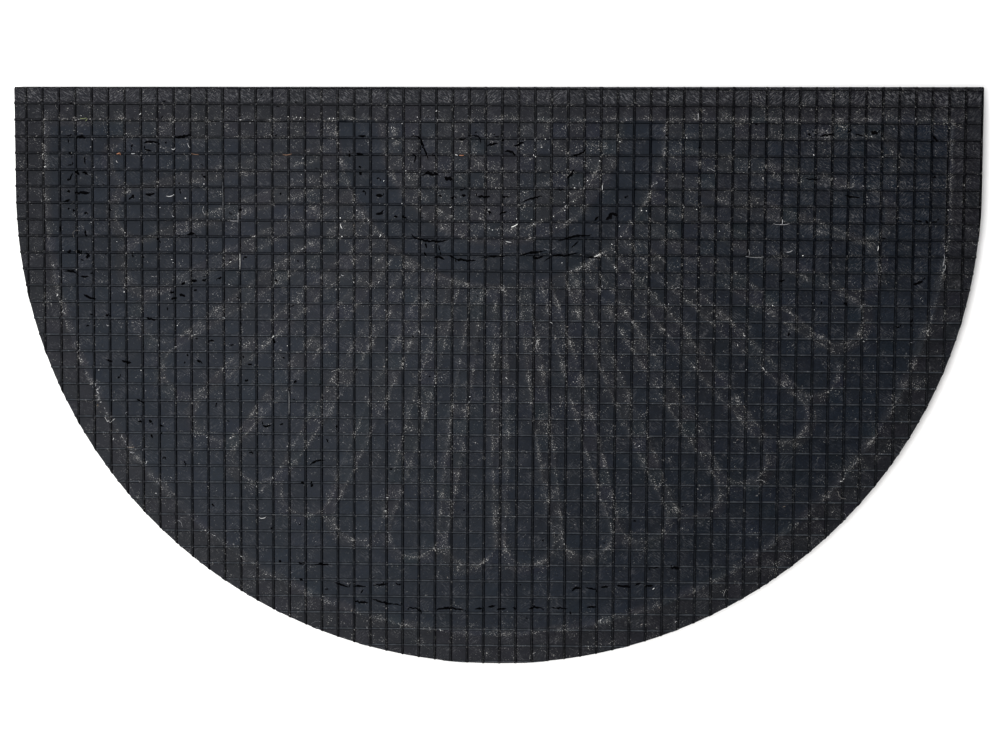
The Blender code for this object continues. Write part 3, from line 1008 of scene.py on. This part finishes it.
def bristleTree():
    tree, add, source = newTree(
        "coir bristles", Geometry="Geometry",
        Float="Spacing, Per Area, Length, Radius, Lean", Int="Seed", Material="Material")
    roots = add("DistributePointsOnFaces", {
        "Mesh": source["Geometry"], "Distance Min": source["Spacing"], "Density Max": source["Per Area"],
        "Seed": source["Seed"],
    }, distribute_method="POISSON")
    tipRadius = add("MULTIPLY", (source["Radius"], 0.7))
    fibre = add("MeshCone", {
        "Vertices": 3, "Side Segments": 2, "Radius Top": tipRadius, "Radius Bottom": source["Radius"],
        "Depth": source["Length"],
    })
    leanBack = add("MULTIPLY", (source["Lean"], -1.0))
    turns = {}
    for number, axis in enumerate("XY"):
        turns[axis] = add("RandomValue", {2: leanBack, 3: source["Lean"], "Seed": 11 + number},
                          data_type="FLOAT")
    downward = add("ADD", (turns["X"], math.pi))
    spin = add("RandomValue", {2: 0.0, 3: 2 * math.pi, "Seed": 13}, data_type="FLOAT")
    angles = add("CombineXYZ", {"X": downward, "Y": turns["Y"], "Z": spin})
    size = add("RandomValue", {2: 0.75, 3: 1.2, "Seed": 14}, data_type="FLOAT")
    standing = add("InstanceOnPoints", {
        "Points": roots, "Instance": fibre, "Rotation": angles, "Scale": size})
    tone = add("RandomValue", {2: 0.0, 3: 1.0, "Seed": 15}, data_type="FLOAT")
    marked = add("StoreNamedAttribute", {"Geometry": standing, "Name": "fibreTone", "Value": tone},
                 domain="INSTANCE")
    single = add("RealizeInstances", {"Geometry": marked})
    # trimmed: nothing reaches below the floor
    place = add("SeparateXYZ", (add("InputPosition"),))
    trimmed = add("MAXIMUM", (place.outputs["Z"], 0.0))
    kept = add("CombineXYZ", {"X": place.outputs["X"], "Y": place.outputs["Y"], "Z": trimmed})
    cut = add("SetPosition", {"Geometry": single, "Position": kept})
    dressed = add("SetMaterial", {"Geometry": cut, "Material": source["Material"]})
    add("GroupOutput", {"Geometry": dressed})
    return tree


def makeBristles(name, material, tree, side):
    # one half of the mat, its roots on a plate that faces down
    inset = outline["border"] + pile["clearance"] + pile["bristleInset"]
    shape = bmesh.new()
    rim = [(x, y) for x, y in outlinePoints(inset) if x * side >= 0]
    rim.append((0.0, outline["depth"] / 2 - inset))
    face = shape.faces.new([shape.verts.new((x, y, pile["bristleRoot"])) for x, y in rim])
    face.normal_update()
    if face.normal.z > 0:
        face.normal_flip()
    bristles = shapeObject(name, shape)
    useTree(bristles, tree, {**bristle, "Seed": 5 + side, "Material": material})
    settle(bristles)
    return bristles


# Coir: coconut husk fibre, golden brown, each bristle a little lighter or darker than the next
coirLook = {
    "tones": ((0.0, "#5a3a1e"), (0.35, "#8a6034"), (0.7, "#a97d48"), (1.0, "#c9a36a")),
    "fibre": 0.00035,        # across one fibre, and how far its tone runs along it
    "run": 0.0040,
    "patch": 1 / 220,        # metres across a lighter or darker patch
    "relief": 0.0002,
    "roughness": 0.85,
    "sheen": 0.25,
}


def coirMaterial():
    material, add = newMaterial("natural_coir_fibre")
    place = add("TexCoord").outputs["Object"]
    fine = 1 / coirLook["fibre"]
    stretched = add("Mapping", {"Vector": place, "Scale": (fine, fine, 1 / coirLook["run"])})
    fibres = add("TexNoise", {"Vector": stretched, "Scale": 1.0, "Detail": 2.0})
    patches = add("TexNoise", {"Vector": place, "Scale": 1 / coirLook["patch"], "Detail": 2.0})
    own = add("Attribute", attribute_name="fibreTone")
    share = add("MULTIPLY", (own.outputs["Fac"], 0.55))
    withFibres = add("MULTIPLY_ADD", (fibres, 0.5, share))
    level = add("MULTIPLY_ADD", (patches, 0.3, withFibres))
    ramp = add("ValToRGB", {"Fac": level})
    fillRamp(ramp, coirLook["tones"])
    bump = add("Bump", {"Strength": 1.0, "Distance": coirLook["relief"], "Height": fibres})
    shader = add("BsdfPrincipled", {
        "Base Color": ramp, "Roughness": coirLook["roughness"], "Specular IOR Level": coirLook["sheen"],
        "Normal": bump})
    add("OutputMaterial", {"Surface": shader})
    return material


def fillRamp(node, stops):
    ramp = node.color_ramp
    while len(ramp.elements) < len(stops):
        ramp.elements.new(1.0)
    for element, (place, code) in zip(ramp.elements, stops):
        element.position = place
        element.color = sRGB(code)


coir = coirMaterial()
coirBed = makeCoirBed(coir)
sharedBristles = bristleTree()
halves = (("coir_bristles_left", -1), ("coir_bristles_right", 1))
bristleHalves = [makeBristles(name, coir, sharedBristles, side) for name, side in halves]
print("coir pile:", len(coirBed.data.polygons), "bed faces,", [len(b.data.polygons) for b in bristleHalves],
      "bristle faces")


# Coir ends and lint caught in the back's skin, thickest along the fan's lines, and a few painted highlights
# drawn as pale strands

caught = {
    "Per Area": 90000.0,     # chances for a strand, before the pattern thins them out
    "Lowest": 0.0118,        # none lies on the mat's sides below this height
    "Plain Chance": 0.0065,
    "Line Chance": 0.150,
    "Rim Chance": 0.0,
    "Clump": 0.0110,
    "Length": 0.0012,
    "Thickness": 0.00034,
    "Lean": 0.45,
}

hairs = {
    **caught,
    "Per Area": 1300.0,
    "Plain Chance": 0.10,
    "Line Chance": 0.22,
    "Rim Chance": 0.20,
    "Clump": 0.0300,
    "Length": 0.0062,
    "Thickness": 0.00013,
    "Lean": 0.06,
}


def strandTree():
    tree, add, source = newTree(
        "caught strands", Geometry="Geometry",
        Float="Per Area, Lowest, Plain Chance, Line Chance, Rim Chance, Clump, Length, Thickness, Lean",
        Int="Seed", Material="Material")
    position = add("InputPosition")
    height = add("SeparateXYZ", (position,))
    facing = add("SeparateXYZ", (add("InputNormal"),))
    high = add("GREATER_THAN", (height.outputs["Z"], source["Lowest"]))
    upward = add("GREATER_THAN", (facing.outputs["Z"], 0.5))
    onTop = add("MULTIPLY", (high, upward))
    spots = add("DistributePointsOnFaces", {
        "Mesh": source["Geometry"], "Selection": onTop, "Density": source["Per Area"],
        "Seed": source["Seed"]})
    pattern = add("GeometryNodeGroup", (position,), node_tree=geometryFan)
    narrow = add("POWER", (pattern.outputs["Line"], 2.2))
    onLine = add("MULTIPLY_ADD", (narrow, source["Line Chance"], source["Plain Chance"]))
    onRim = add("MULTIPLY_ADD", (pattern.outputs["Rim"], source["Rim Chance"], onLine))
    clear = add("MULTIPLY_ADD", (pattern.outputs["Smooth"], -0.75, 1.0))
    scale = add("DIVIDE", (1.0, source["Clump"]))
    clumps = add("TexNoise", {"Vector": position, "Scale": scale, "Detail": 3.0})
    clumpShare = add("MapRange", (clumps, 0.47, 0.70, 0.06, 5.0))
    # they lodge along the ribs that run down
    ribPlace = add("ADD", (height.outputs["X"], -ribs["crossing"][0]))
    ribTurned = add("MULTIPLY_ADD", (height.outputs["Y"], math.sin(ribs["turn"]), ribPlace))
    ribHalf = ribs["pitchAcross"] / 2
    fromRib = add("WRAP", (ribTurned, ribHalf, -ribHalf))
    ribAway = add("ABSOLUTE", (fromRib,))
    lodged = add("MapRange", (ribAway, 1.2 * mm, 2.6 * mm, 2.6, 0.7))
    chance = onRim
    for share in (clear, clumpShare, lodged):
        chance = add("MULTIPLY", (chance, share))
    throw = add("RandomValue", {2: 0.0, 3: 1.0, "Seed": 21}, data_type="FLOAT")
    missed = add("GREATER_THAN", (throw, chance))
    kept = add("DeleteGeometry", {"Geometry": spots, "Selection": missed}, domain="POINT")
    # four bent strands to pick from, each one unit long before it is scaled
    slimness = add("DIVIDE", (source["Thickness"], source["Length"]))
    radius = add("MULTIPLY", (slimness, 0.5))
    section = add("CurvePrimitiveCircle", {"Resolution": 3, "Radius": radius}, mode="RADIUS")
    shapes = []
    for bend, lift in ((0.10, 0.02), (0.35, 0.03), (-0.55, 0.05), (0.90, 0.04)):
        path = add("CurveQuadraticBezier", (3, (-0.5, 0.0, 0.0), (0.0, bend, lift), (0.5, 0.0, 0.0)))
        tube = add("CurveToMesh", {"Curve": path, "Profile Curve": section, "Fill Caps": True})
        shapes.append(add("GeometryToInstance", (tube,)))
    leanBack = add("MULTIPLY", (source["Lean"], -1.0))
    tilt = add("RandomValue", {2: leanBack, 3: source["Lean"], "Seed": 22}, data_type="FLOAT")
    heading = add("RandomValue", {2: 0.0, 3: 2 * math.pi, "Seed": 23}, data_type="FLOAT")
    angles = add("CombineXYZ", {"Y": tilt, "Z": heading})
    spread = add("RandomValue", {2: 0.35, 3: 1.5, "Seed": 24}, data_type="FLOAT")
    size = add("MULTIPLY", (spread, source["Length"]))
    laid = add("InstanceOnPoints", {
        "Points": kept, "Instance": add("JoinGeometry", (shapes,)), "Pick Instance": True,
        "Rotation": angles, "Scale": size})
    raised = add("CombineXYZ", {"Z": source["Thickness"]})
    lifted = add("TranslateInstances", {"Instances": laid, "Translation": raised, "Local Space": False})
    tone = add("RandomValue", {2: 0.0, 3: 0.86, "Seed": 25}, data_type="FLOAT")
    marked = add("StoreNamedAttribute", {"Geometry": lifted, "Name": "strandTone", "Value": tone},
                 domain="INSTANCE")
    realized = add("RealizeInstances", {"Geometry": marked})
    dressed = add("SetMaterial", {"Geometry": realized, "Material": source["Material"]})
    add("GroupOutput", {"Geometry": dressed})
    return tree


def makeStrands(name, tree, surface, amounts, seed, material):
    strands = newObject(name, surface.copy())
    useTree(strands, tree, {**amounts, "Seed": seed, "Material": material})
    settle(strands)
    return strands


# Loose fibre: bleached and dusty coir ends, from nearly white to brown, and the odd dyed bit; the painted
# crest highlights among the caught bits take these tones too
strandTones = (
    (0.00, "#f2f2f0"), (0.08, "#d6d6d5"), (0.22, "#a3a4a7"), (0.38, "#787a7e"), (0.52, "#5c5e62"),
    (0.66, "#707176"), (0.78, "#908c88"), (0.88, "#6a5a48"), (0.93, "#96664a"), (1.00, "#747c56"),
)


def strandMaterial():
    material, add = newMaterial("loose_coir_fibre")
    place = add("TexCoord").outputs["Object"]
    own = add("Attribute", attribute_name="strandTone")
    ramp = add("ValToRGB", {"Fac": own.outputs["Fac"]})
    fillRamp(ramp, strandTones)
    mottle = add("TexNoise", {"Vector": place, "Scale": 1 / 0.0006, "Detail": 2.0})
    shade = add("MapRange", (mottle, 0.0, 1.0, 0.55, 1.25))
    toned = add("VectorMath", (ramp, shade), operation="SCALE")
    shader = add("BsdfPrincipled", {"Base Color": toned, "Roughness": 0.7, "Specular IOR Level": 0.3})
    add("OutputMaterial", {"Surface": shader})
    return material


# The larger bits that can be told apart one by one, each where the photograph shows it, and painted
# highlights drawn as pale strands
bitsAndCrestGlints = (
    # x, y, heading in degrees, length and width in millimetres, turning in degrees, tone
    (173.6, 147.0, 20, 4.2, 0.38, 170, 0.16), (188.6, 145.0, -60, 4.0, 0.34, 50, 0.20),
    (170.0, 194.6, 14, 6.6, 0.40, 50, 0.14), (118.0, 152.8, 30, 2.4, 0.80, 60, 0.93),
    (119.8, 153.6, 100, 1.8, 0.60, 40, 0.93), (133.0, 153.0, 5, 3.0, 0.45, 40, 0.24),
    (461.0, 154.8, 2, 3.6, 0.55, 25, 0.93), (456.0, 154.4, -8, 2.2, 0.50, 30, 0.14),
    (83.0, 117.6, 8, 5.0, 0.45, 40, 1.00), (86.0, 119.0, 60, 3.0, 0.40, 80, 1.00),
    (781.0, 223.2, 2, 13.0, 0.28, 20, 0.20), (781.4, 221.4, 88, 4.0, 0.32, 20, 0.14),
    (754.0, 256.0, 0, 14.0, 0.26, 20, 0.22), (748.0, 252.0, 100, 5.0, 0.26, 30, 0.30),
    # painted highlights: the long straight upright strands at x 222.4, 237.6, 239.6 and 288.6 stand for light
    # caught on the crests of ribs that run down
    (262.0, 516.6, 8, 5.6, 0.38, 60, 0.10), (222.4, 201.0, 90, 30.0, 0.22, 4, 0.44),
    (237.6, 217.0, 90, 8.0, 0.25, 4, 0.22), (234.0, 220.4, 0, 6.0, 0.25, 8, 0.22),
    (288.6, 402.0, 90, 18.0, 0.25, 4, 0.30), (239.6, 261.0, 90, 12.0, 0.28, 6, 0.10),
    (95.2, 384.0, 80, 2.6, 0.36, 60, 0.24), (96.3, 388.6, 60, 2.0, 0.38, 90, 0.14),
    (96.9, 392.0, 130, 2.2, 0.36, 70, 0.10), (95.8, 394.6, 20, 1.8, 0.36, 50, 0.78),
    (98.4, 397.6, 110, 2.2, 0.34, 40, 0.24), (100.3, 401.2, 30, 1.6, 0.34, 80, 0.16),
    (96.9, 404.4, 70, 2.0, 0.36, 60, 0.88), (104.0, 407.8, 120, 1.4, 0.32, 60, 0.20),
    (106.2, 412.0, 20, 1.4, 0.32, 60, 0.24), (130.6, 446.4, 4, 5.0, 0.36, 30, 0.86),
    (131.6, 451.4, -6, 4.0, 0.36, 60, 0.22), (107.9, 419.6, 10, 1.8, 0.36, 50, 0.14),
    (121.0, 435.2, 80, 2.2, 0.32, 60, 0.20), (124.6, 441.0, 110, 1.6, 0.32, 60, 0.24),
    (145.6, 461.6, 80, 2.4, 0.34, 60, 0.16), (287.0, 153.6, 6, 7.0, 0.40, 40, 0.90),
    (514.0, 225.0, 28, 5.6, 0.60, 20, 0.00), (508.0, 241.0, -10, 4.6, 0.45, 30, 0.14),
    (340.8, 225.6, -70, 4.2, 0.40, 30, 0.04), (195.0, 153.4, -4, 6.0, 0.30, 30, 0.90),
    (789.0, 250.4, 20, 5.0, 0.35, 60, 0.20), (942.6, 260.0, 88, 9.0, 0.36, 30, 0.26),
    (943.4, 268.0, 80, 6.0, 0.36, 40, 0.24), (697.6, 116.0, 90, 5.0, 0.40, 10, 0.24),
    (601.6, 187.0, 90, 4.0, 0.45, 20, 0.14), (596.0, 254.6, 30, 4.4, 0.55, 60, 0.08),
    (877.4, 248.0, 84, 3.6, 0.40, 20, 0.06),
)

# Balls of lint, seen as pale dots: place, then across in millimetres
lintDots = (
    (90.9, 221.7, 1.1), (62.9, 250, 0.9), (116.4, 241, 0.7), (159.7, 207, 0.9), (203.6, 183.6, 1.1),
    (185, 197.9, 1.1), (90.4, 146.4, 0.8), (249.7, 122.6, 0.9), (171.4, 259, 0.9), (172.6, 262, 0.9),
    (228.6, 284, 0.9), (124, 291.4, 1.0), (125, 232, 0.7), (574.3, 187.4, 1.2), (488.6, 228, 0.9),
    (492, 229.6, 0.9), (497, 229.4, 0.6), (563.6, 202, 0.8), (564.4, 210, 1.0), (553, 216, 0.8),
    (516, 218.4, 0.9), (531, 219, 0.8), (541, 219, 0.9), (556, 227, 0.9), (611.4, 243.6, 1.0),
    (614.3, 251.4, 0.8), (561.4, 262.4, 0.9), (587, 180, 0.9), (588.6, 184, 0.7), (405.4, 170.4, 0.8),
    (401.7, 203.3, 0.9), (296, 116.7, 0.9), (300, 117, 0.9), (288, 116, 0.7), (329, 118, 0.9),
    (333, 117.6, 0.9), (416.7, 116.7, 0.9), (401.7, 123.3, 0.9), (340, 217.5, 1.1), (341.7, 235.8, 1.4),
    (335.5, 288.7, 0.9), (353.3, 281.7, 0.9), (368.3, 219.7, 0.8), (300.8, 174, 0.9), (302.6, 158, 0.9),
    (367.5, 142, 0.7), (392.5, 138.3, 0.8), (391, 127.5, 0.7), (383.4, 180.6, 1.0), (352.6, 202, 0.7),
    (356.4, 210, 0.8), (141, 370, 0.9), (98.4, 369.4, 0.9), (177, 325, 0.8), (230, 437.6, 1.0),
    (280.4, 349.6, 0.8), (287, 345, 0.7), (686, 137.4, 1.0), (813, 154.6, 0.9), (802, 255, 1.1),
    (772, 305, 0.9), (842, 126.6, 0.8), (813.6, 309.4, 0.9), (696, 209, 0.8), (641, 210, 1.0),
    (646, 210.4, 0.8), (668, 303.4, 0.7), (947, 209.6, 0.8), (646.4, 276.6, 0.7), (719, 230.6, 0.7),
    (535, 156.6, 0.9), (529.6, 158.6, 0.9), (599, 160.6, 0.9), (545, 139, 0.9), (541, 146.6, 0.8),
    (459.6, 147.6, 0.8), (573, 201, 0.8), (619, 226, 0.8),
)


def backHeight(x, y):
    # the height of ribs and cell floors at a place on the back
    turn, (crossX, crossY) = ribs["turn"], ribs["crossing"]
    gridX = (x - crossX) * math.cos(turn) + (y - crossY) * math.sin(turn)
    gridY = (y - crossY) * math.cos(turn) - (x - crossX) * math.sin(turn)
    away = min(abs((gridX / ribs["pitchAcross"] + 0.5) % 1 - 0.5) * ribs["pitchAcross"],
               abs((gridY / ribs["pitchDown"] + 0.5) % 1 - 0.5) * ribs["pitchDown"])
    slope = (ribs["foot"] - ribs["crest"]) / 2
    share = min(max((ribs["foot"] / 2 + slope - away) / (2 * slope), 0.0), 1.0)
    return layers["cellFloor"] + share * (layers["ribCrest"] - layers["cellFloor"])


def headed(angle):
    return Vector((math.cos(angle), math.sin(angle)))


def makeBitsAndCrestGlints(material):
    stations = 9
    shape = bmesh.new()
    tones = shape.verts.layers.float.new("strandTone")
    dots = [(x, y, 40 * x, 0.75 * across, 0.6 * across, 60, 0.18 * (x % 1)) for x, y, across in lintDots]
    for x, y, heading, length, width, turning, tone in (*bitsAndCrestGlints, *dots):
        middleway, bend = math.radians(heading), math.radians(turning)
        angle = middleway - bend / 2
        spot = fromPhoto(x, y) - headed(middleway) * length * mm / 2
        rings = []
        for station in range(stations):
            share = min(max(station / (stations - 1), 0.04), 0.96)
            half = width * mm / 2 * (0.35 + 0.65 * math.sin(math.pi * share) ** 0.6)
            aside = headed(angle + math.pi / 2) * half
            middle = backHeight(*spot) + half + 0.10 * mm
            ring = [(*(spot + aside), middle), (*spot, middle + 0.7 * half),
                    (*(spot - aside), middle), (*spot, middle - 0.7 * half)]
            rings.append([shape.verts.new(place) for place in ring])
            for vert in rings[-1]:
                vert[tones] = tone
            spot = spot + headed(angle) * length * mm / (stations - 1)
            angle += bend / (stations - 1)
        joinRings(shape, rings)
    bmesh.ops.recalc_face_normals(shape, faces=shape.faces)
    return shapeObject("caught_bits_and_crest_glints", shape, material)


looseFibre = strandMaterial()
sharedStrands = strandTree()
strands = makeStrands("caught_strands", sharedStrands, backing.data, caught, 3, looseFibre)
looseHairs = makeStrands("loose_hairs", sharedStrands, backing.data, hairs, 4, looseFibre)
bits = makeBitsAndCrestGlints(looseFibre)
print("caught fibres:", len(strands.data.polygons), "strand faces,", len(looseHairs.data.polygons),
      "hair faces")


def makeFloor():
    shape = bmesh.new()
    bmesh.ops.create_grid(shape, x_segments=1, y_segments=1, size=4.0)
    material, add = newMaterial("white_paper_sweep")
    add("OutputMaterial", {"Surface": add("BsdfPrincipled", {
        "Base Color": (0.86, 0.86, 0.86, 1.0), "Roughness": 0.9})})
    return shapeObject("studio_floor", shape, material)


floor = makeFloor()
floor.location.z = -0.2 * mm  # so that the bristle tips don't share its plane


lights = (
    # name, place, aimed at, roll in degrees, width, height, power in watts, colour
    ("overhead", (-0.54, -0.22, 1.75), (-0.54, -0.22, 0.0), -30, 1.1, 1.7, 57.0, (1.0, 0.99, 0.98)),
    ("northStrip", (-0.10, 1.50, 0.60), (0.0, 0.0, 0.0), 0, 1.8, 0.35, 22.0, (0.97, 0.98, 1.0)),
)


def makeLights():
    for name, place, target, roll, width, height, power, colour in lights:
        data = bpy.data.lights.new(name, "AREA")
        data.shape = "RECTANGLE"
        data.size = width
        data.size_y = height
        data.energy = power
        data.color = colour
        light = bpy.data.objects.new(name, data)
        bpy.context.scene.collection.objects.link(light)
        light.location = place
        aim = (Vector(target) - Vector(place)).to_track_quat("-Z", "Y")
        light.rotation_euler = (aim @ Euler((0.0, 0.0, math.radians(roll))).to_quaternion()).to_euler()
    world = bpy.data.worlds.new("studio")
    world.use_nodes = True
    background = world.node_tree.nodes["Background"]
    background.inputs["Color"].default_value = (1.0, 1.0, 1.0, 1.0)
    background.inputs["Strength"].default_value = 0.20
    bpy.context.scene.world = world


def makeCamera():
    data = bpy.data.cameras.new("overheadCamera")
    data.lens = camera["lens"]
    data.sensor_width = camera["sensor"]
    overhead = bpy.data.objects.new("overheadCamera", data)
    bpy.context.scene.collection.objects.link(overhead)
    overhead.location = camera["place"]
    overhead.rotation_euler = camera["turn"]
    bpy.context.scene.camera = overhead


makeLights()
makeCamera()
bpy.context.scene.view_settings.view_transform = "Standard"

coirPieces = [coirBed, *bristleHalves]
loosePieces = [strands, looseHairs, bits]
for piece in [backing, *coirPieces, *loosePieces]:
    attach(piece, "root")
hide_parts("rubber_backing")
for piece in coirPieces:
    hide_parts("coir_pile")
